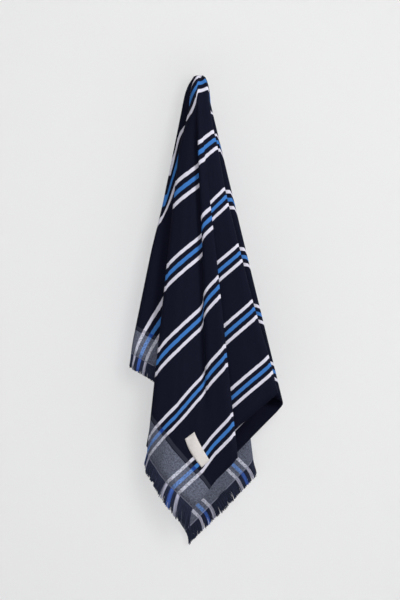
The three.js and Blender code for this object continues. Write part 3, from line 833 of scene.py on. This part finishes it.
def new_material(name):
    material = bpy.data.materials.new(name)
    material.use_nodes = True
    tree = material.node_tree
    tree.nodes.clear()
    return material, tree


def flat_cloth_place(tree):
    """The flat place of a point, as one vector and as its parts across and along the towel."""
    place = add(tree, "ShaderNodeUVMap", {"uv_map": "flat cloth"}).outputs[0]
    split = add(tree, "ShaderNodeSeparateXYZ", inputs={0: place})
    return place, split.outputs[0], split.outputs[1]


def striped_colour(tree, across, ground, blue, white):
    """Navy ground with the sets of stripes over it, by distance from a set's middle."""
    period = STRIPE_PERIOD * MM
    turns = add(tree, "ShaderNodeMath", {"operation": "MULTIPLY_ADD"},
                {0: across, 1: 1 / period, 2: 0.5 - FIRST_SET * MM / period}).outputs[0]
    turn = add(tree, "ShaderNodeMath", {"operation": "FRACT"}, {0: turns}).outputs[0]
    offset = add(tree, "ShaderNodeMath", {"operation": "SUBTRACT"}, {0: turn, 1: 0.5}).outputs[0]
    share = add(tree, "ShaderNodeMath", {"operation": "ABSOLUTE"}, {0: offset}).outputs[0]
    distance = add(tree, "ShaderNodeMath", {"operation": "MULTIPLY"},
                   {0: share, 1: period}).outputs[0]
    from_white = add(tree, "ShaderNodeMath", {"operation": "SUBTRACT"},
                     {0: distance, 1: WHITE_CENTRE * MM}).outputs[0]
    white_distance = add(tree, "ShaderNodeMath", {"operation": "ABSOLUTE"},
                         {0: from_white}).outputs[0]
    soft = STRIPE_SOFTNESS * MM
    is_blue = add(tree, "ShaderNodeMapRange", inputs={
        "Value": distance, "From Min": BLUE_HALF * MM - soft, "From Max": BLUE_HALF * MM + soft,
        "To Min": 1.0, "To Max": 0.0}).outputs[0]
    is_white = add(tree, "ShaderNodeMapRange", inputs={
        "Value": white_distance, "From Min": WHITE_HALF * MM - soft,
        "From Max": WHITE_HALF * MM + soft, "To Min": 1.0, "To Max": 0.0}).outputs[0]
    with_blue = add(tree, "ShaderNodeMix", {"data_type": "RGBA"},
                    {0: is_blue, 6: linear(ground), 7: linear(blue)}).outputs[2]
    return add(tree, "ShaderNodeMix", {"data_type": "RGBA"},
               {0: is_white, 6: with_blue, 7: linear(white)}).outputs[2]


def thread_waves(tree, along, pitch):
    """A rounded rise and fall for each thread along one direction, from 0 to 1."""
    phase = add(tree, "ShaderNodeMath", {"operation": "MULTIPLY"},
                {0: along, 1: 2 * math.pi / (pitch * MM)}).outputs[0]
    wave = add(tree, "ShaderNodeMath", {"operation": "SINE"}, {0: phase}).outputs[0]
    return add(tree, "ShaderNodeMath", {"operation": "MULTIPLY_ADD"},
               {0: wave, 1: 0.5, 2: 0.5}).outputs[0]


def woven_cotton():
    """Dense yarn-dyed cotton with a dull, faintly blue bloom where it turns from the eye. The
    bands beside the fringe are plain-woven with a pale weft, so they look greyer and speckled."""
    material, tree = new_material("woven cotton")
    place, across, along = flat_cloth_place(tree)

    # Threads don't lie quite straight, so the stripes' edges waver by part of a millimetre.
    waver = add(tree, "ShaderNodeTexNoise", {"noise_dimensions": "2D"},
                {"Vector": place, "Scale": 1 / (6 * MM), "Detail": 2.0}).outputs[0]
    shifted = add(tree, "ShaderNodeMath", {"operation": "MULTIPLY_ADD"},
                  {0: waver, 1: 0.9 * MM, 2: across}).outputs[0]
    body = striped_colour(tree, shifted, "#080B1D", "#386EB0", "#CAC8D5")
    border = striped_colour(tree, shifted, "#292C38", "#204390", "#A09FAC")
    band = striped_colour(tree, shifted, "#5A5E6D", "#6080B8", "#B2B4C2")

    # In the band the pale weft shows between the dark warp as fine speckle.
    speckle = add(tree, "ShaderNodeTexNoise", {"noise_dimensions": "2D"},
                  {"Vector": place, "Scale": 1 / (2.8 * MM), "Detail": 3.0,
                   "Roughness": 0.75}).outputs[0]
    speckle_share = add(tree, "ShaderNodeMapRange", inputs={
        "Value": speckle, "From Min": 0.35, "From Max": 0.65,
        "To Min": 0.62, "To Max": 1.4}).outputs[0]
    speckled = add(tree, "ShaderNodeVectorMath", {"operation": "SCALE"},
                   {0: band, "Scale": speckle_share}).outputs[0]

    # A narrow border lies before the band, with a darker line at its end, and a pale line ends
    # the band.
    past = {}
    for row in rows_to_dicts(BAND_COLUMNS, BAND_PARTS):
        past[row["part"]] = add(tree, "ShaderNodeMapRange", inputs={
            "Value": along, "From Min": row["start"] * MM,
            "From Max": (row["start"] + row["softness"]) * MM}).outputs[0]
    border_amount = add(tree, "ShaderNodeMath", {"operation": "MULTIPLY_ADD"},
                        {0: past["line"], 1: -0.8, 2: past["border"]}).outputs[0]
    bordered = add(tree, "ShaderNodeMix", {"data_type": "RGBA"},
                   {0: border_amount, 6: body, 7: border}).outputs[2]
    cloth = add(tree, "ShaderNodeMix", {"data_type": "RGBA"},
                {0: past["band"], 6: bordered, 7: speckled}).outputs[2]
    edge_amount = add(tree, "ShaderNodeMath", {"operation": "MULTIPLY"},
                      {0: past["edge"], 1: 0.45}).outputs[0]
    edged = add(tree, "ShaderNodeMix", {"data_type": "RGBA"},
                {0: edge_amount, 6: cloth, 7: linear("#9A9CB4")}).outputs[2]

    # Each thread is raised where warp and weft cross, with a painted highlight on each crossing and
    # painted shade in the dips between, and the cloth is a little uneven from place to place.
    warp = thread_waves(tree, across, WARP_PITCH)
    weft = thread_waves(tree, along, WEFT_PITCH)
    weave = add(tree, "ShaderNodeMath", {"operation": "MULTIPLY"}, {0: warp, 1: weft}).outputs[0]
    # Painted shade between the threads and a painted highlight where they cross, scaled into the
    # colour.
    shade = add(tree, "ShaderNodeMapRange", inputs={
        "Value": weave, "To Min": 0.9, "To Max": 1.12}).outputs[0]
    weave_shaded_colour = add(tree, "ShaderNodeVectorMath", {"operation": "SCALE"},
                  {0: edged, "Scale": shade}).outputs[0]
    rough = add(tree, "ShaderNodeMapRange", inputs={
        "Value": speckle, "To Min": 0.78, "To Max": 0.94}).outputs[0]
    pressed = add(tree, "ShaderNodeTexNoise", {"noise_dimensions": "2D"},
                  {"Vector": place, "Scale": 1 / (28 * MM), "Detail": 2.0}).outputs[0]
    height = add(tree, "ShaderNodeMath", {"operation": "MULTIPLY_ADD"},
                 {0: pressed, 1: 3.0, 2: weave}).outputs[0]
    bump = add(tree, "ShaderNodeBump", inputs={
        "Height": height, "Strength": 0.35, "Distance": 0.12 * MM}).outputs[0]
    shader = add(tree, "ShaderNodeBsdfPrincipled", inputs={
        "Base Color": weave_shaded_colour, "Roughness": rough, "IOR": 1.5, "Normal": bump,
        "Specular IOR Level": 0.11, "Sheen Weight": 0.06, "Sheen Roughness": 0.4,
        "Sheen Tint": linear("#8C9ACF")}).outputs[0]
    add(tree, "ShaderNodeOutputMaterial", inputs={"Surface": shader})
    return material


def loose_cotton_yarn():
    """Unwoven warp ends in the colours of their stripes, softer and a little greyer than the
    cloth, no two strands quite alike."""
    material, tree = new_material("loose cotton yarn")
    place, across, along = flat_cloth_place(tree)
    colour = striped_colour(tree, across, "#171C2F", "#34549C", "#A3A3B4")
    strand = add(tree, "ShaderNodeMath", {"operation": "MULTIPLY"},
                 {0: across, 1: 1 / (STRAND_PITCH * MM)}).outputs[0]
    chance = add(tree, "ShaderNodeTexNoise", {"noise_dimensions": "1D"},
                 {"W": strand, "Scale": 1.0}).outputs[0]
    shade = add(tree, "ShaderNodeMapRange", inputs={
        "Value": chance, "From Min": 0.3, "From Max": 0.7,
        "To Min": 0.7, "To Max": 1.45}).outputs[0]
    shaded = add(tree, "ShaderNodeVectorMath", {"operation": "SCALE"},
                 {0: colour, "Scale": shade}).outputs[0]
    twist = thread_waves(tree, along, TWIST_PITCH)
    bump = add(tree, "ShaderNodeBump", inputs={
        "Height": twist, "Strength": 0.5, "Distance": 0.15 * MM}).outputs[0]
    shader = add(tree, "ShaderNodeBsdfPrincipled", inputs={
        "Base Color": shaded, "Roughness": 0.88, "IOR": 1.5, "Normal": bump,
        "Specular IOR Level": 0.25, "Sheen Weight": 0.25, "Sheen Roughness": 0.5,
        "Sheen Tint": linear("#8C9ACF")}).outputs[0]
    add(tree, "ShaderNodeOutputMaterial", inputs={"Surface": shader})
    return material


def cotton_tape():
    """Bare cream tape in a close plain weave, dull and slightly warm."""
    material, tree = new_material("cotton tape")
    place, across, along = flat_cloth_place(tree)
    warp = thread_waves(tree, across, TAPE_PITCH)
    weft = thread_waves(tree, along, TAPE_PITCH)
    weave = add(tree, "ShaderNodeMath", {"operation": "MULTIPLY"}, {0: warp, 1: weft}).outputs[0]
    uneven = add(tree, "ShaderNodeTexNoise", {"noise_dimensions": "2D"},
                 {"Vector": place, "Scale": 1 / (5 * MM), "Detail": 3.0}).outputs[0]
    # The tape's tone is partly painted highlight on the thread crossings and painted shade between
    # them, and partly uneven at random.
    tone = add(tree, "ShaderNodeMath", {"operation": "MULTIPLY_ADD"},
               {0: weave, 1: 0.35, 2: uneven}).outputs[0]
    colour = add(tree, "ShaderNodeMix", {"data_type": "RGBA"},
                 {0: tone, 6: linear("#C2BDBA"), 7: linear("#D2CDCA")}).outputs[2]
    bump = add(tree, "ShaderNodeBump", inputs={
        "Height": weave, "Strength": 0.4, "Distance": 0.1 * MM}).outputs[0]
    shader = add(tree, "ShaderNodeBsdfPrincipled", inputs={
        "Base Color": colour, "Roughness": 0.8, "IOR": 1.5, "Normal": bump,
        "Specular IOR Level": 0.3, "Sheen Weight": 0.1}).outputs[0]
    add(tree, "ShaderNodeOutputMaterial", inputs={"Surface": shader})
    return material


def sewing_thread():
    """Polished cotton thread, a shade darker than the tape so that each stitch reads."""
    material, tree = new_material("sewing thread")
    where = add(tree, "ShaderNodeTexCoord").outputs["Object"]
    twist = add(tree, "ShaderNodeTexNoise", inputs={
        "Vector": where, "Scale": 1 / (0.6 * MM), "Detail": 1.0}).outputs[0]
    colour = add(tree, "ShaderNodeMix", {"data_type": "RGBA"},
                 {0: twist, 6: linear("#AEA7A1"), 7: linear("#C9C2BB")}).outputs[2]
    shader = add(tree, "ShaderNodeBsdfPrincipled", inputs={
        "Base Color": colour, "Roughness": 0.55, "IOR": 1.5}).outputs[0]
    add(tree, "ShaderNodeOutputMaterial", inputs={"Surface": shader})
    return material


def painted_plaster(name, colour):
    """Flat wall paint, nearly even in tone. Its back is clear, so that the towel can be seen
    from behind the wall and from under the floor."""
    material, tree = new_material(name)
    where = add(tree, "ShaderNodeTexCoord").outputs["Object"]
    grain = add(tree, "ShaderNodeTexNoise", inputs={
        "Vector": where, "Scale": 1 / (3 * MM), "Detail": 3.0}).outputs[0]
    bump = add(tree, "ShaderNodeBump", inputs={
        "Height": grain, "Strength": 0.1, "Distance": 0.05 * MM}).outputs[0]
    paint = add(tree, "ShaderNodeBsdfPrincipled", inputs={
        "Base Color": linear(colour), "Roughness": 0.9, "Normal": bump,
        "Specular IOR Level": 0.15}).outputs[0]
    clear = add(tree, "ShaderNodeBsdfTransparent").outputs[0]
    behind = add(tree, "ShaderNodeNewGeometry").outputs["Backfacing"]
    shader = add(tree, "ShaderNodeMixShader", inputs={0: behind, 1: paint, 2: clear}).outputs[0]
    add(tree, "ShaderNodeOutputMaterial", inputs={"Surface": shader})
    return material


# The camera: a long lens, level and straight in front, which shows PIXEL to a pixel.
PIXEL = 1.572 * MM
IMAGE_HEIGHT = 600
HANG_PIXEL_Y = 75
LENS = 300.0
SENSOR = 36.0
FRONT_DEPTH = -50 * MM

# The stage: a wall just behind the towel, and a floor.
WALL_Y = 84 * MM
WALL_SIZE = 5.0
FLOOR_Z = -1.25


def make_camera():
    data = bpy.data.cameras.new("camera")
    data.lens = LENS
    data.sensor_width = SENSOR
    camera = bpy.data.objects.new("camera", data)
    frame_height = IMAGE_HEIGHT * PIXEL
    distance = LENS / SENSOR * frame_height
    middle_z = -(IMAGE_HEIGHT / 2 - HANG_PIXEL_Y) * PIXEL
    camera.location = (0, FRONT_DEPTH - distance, middle_z)
    camera.rotation_euler = (math.radians(90), 0, 0)
    data.clip_end = 100
    bpy.context.scene.collection.objects.link(camera)
    bpy.context.scene.camera = camera


def make_plane(name, corners, material):
    mesh = bpy.data.meshes.new(name)
    mesh.from_pydata(corners, [], [(0, 1, 2, 3)])
    mesh.materials.append(material)
    plane = bpy.data.objects.new(name, mesh)
    bpy.context.scene.collection.objects.link(plane)
    return plane


def make_stage():
    half = WALL_SIZE / 2
    wall = make_plane("wall", [
        (-half, WALL_Y, FLOOR_Z), (half, WALL_Y, FLOOR_Z),
        (half, WALL_Y, FLOOR_Z + WALL_SIZE), (-half, WALL_Y, FLOOR_Z + WALL_SIZE),
    ], painted_plaster("wall paint", "#E8E8E8"))
    floor = make_plane("floor", [
        (-half, WALL_Y - WALL_SIZE, FLOOR_Z), (half, WALL_Y - WALL_SIZE, FLOOR_Z),
        (half, WALL_Y, FLOOR_Z), (-half, WALL_Y, FLOOR_Z),
    ], painted_plaster("floor paint", "#DDDDDD"))
    return wall, floor


# Where each light stands and points, in metres, its size and power, what it falls on and whose
# shadow it casts.
LIGHT_COLUMNS = ("name", "place", "aim", "size", "power", "falls_on", "shadow_of")
LIGHTS = (
    ("wall light", (0.35, -3.3, 0.45), (0, 0, -0.38), 2.6, 82, "stage", "stage"),
    ("shadow light", (0.5, -3.3, 0.0), (0, 0, -0.38), 1.0, 18, "stage", "towel"),
    ("key", (1.95, -1.8, 1.1), (0.02, 0, -0.3), 0.9, 82, "towel", "towel"),
    ("fill", (-0.4, -2.6, 0.9), (0, 0, -0.3), 2.2, 38, "towel", "towel"),
)

# Light from all round, which lifts the folds' shadows.
WORLD_STRENGTH = 0.16


def make_lights(lit):
    """Soft lights, flagged so that each falls on the towel or on the stage alone. Most of the
    wall's light comes past the towel without a shadow."""
    for row in rows_to_dicts(LIGHT_COLUMNS, LIGHTS):
        data = bpy.data.lights.new(row["name"], "AREA")
        data.shape = "DISK"
        data.size = row["size"]
        data.energy = row["power"]
        light = bpy.data.objects.new(row["name"], data)
        light.location = row["place"]
        direction = Vector(row["aim"]) - Vector(row["place"])
        light.rotation_euler = direction.to_track_quat("-Z", "Y").to_euler()
        bpy.context.scene.collection.objects.link(light)
        light.light_linking.receiver_collection = lit[row["falls_on"]]
        light.light_linking.blocker_collection = lit[row["shadow_of"]]
    world = bpy.data.worlds.new("studio")
    world.use_nodes = True
    background = world.node_tree.nodes["Background"]
    background.inputs["Color"].default_value = linear("#F2F3F5")
    background.inputs["Strength"].default_value = WORLD_STRENGTH
    bpy.context.scene.world = world
    bpy.context.scene.view_settings.view_transform = "Standard"


def gather(name, pieces):
    collection = bpy.data.collections.new(name)
    for piece in pieces:
        collection.objects.link(piece)
    return collection


def dress():
    """Each piece stands for its solid, which is hidden, and carries its own finish."""
    yarn = loose_cotton_yarn()
    towel = make_towel(woven_cotton())
    fringe_outer = make_fringe("fringe_outer_strands", LAYER_SPACING / 2, yarn, seed=7)
    fringe_inner = make_fringe("fringe_inner_strands", -LAYER_SPACING / 2, yarn, seed=11)
    label = make_label(cotton_tape())
    seam = make_label_seam(sewing_thread())
    dressed = (
        (towel, "towel", "woven_cloth"),
        (fringe_outer, "fringe_outer", "fringe"),
        (fringe_inner, "fringe_inner", "fringe"),
        (label, "label", "label"),
    )
    for piece, node, slot in dressed:
        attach(piece, "root")
        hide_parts(node)
    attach(seam, "root")
    return towel, fringe_outer, fringe_inner, label, seam


make_camera()
stage_pieces = make_stage()
towel_pieces = dress()
make_lights({"stage": gather("stage", stage_pieces), "towel": gather("towel", towel_pieces)})
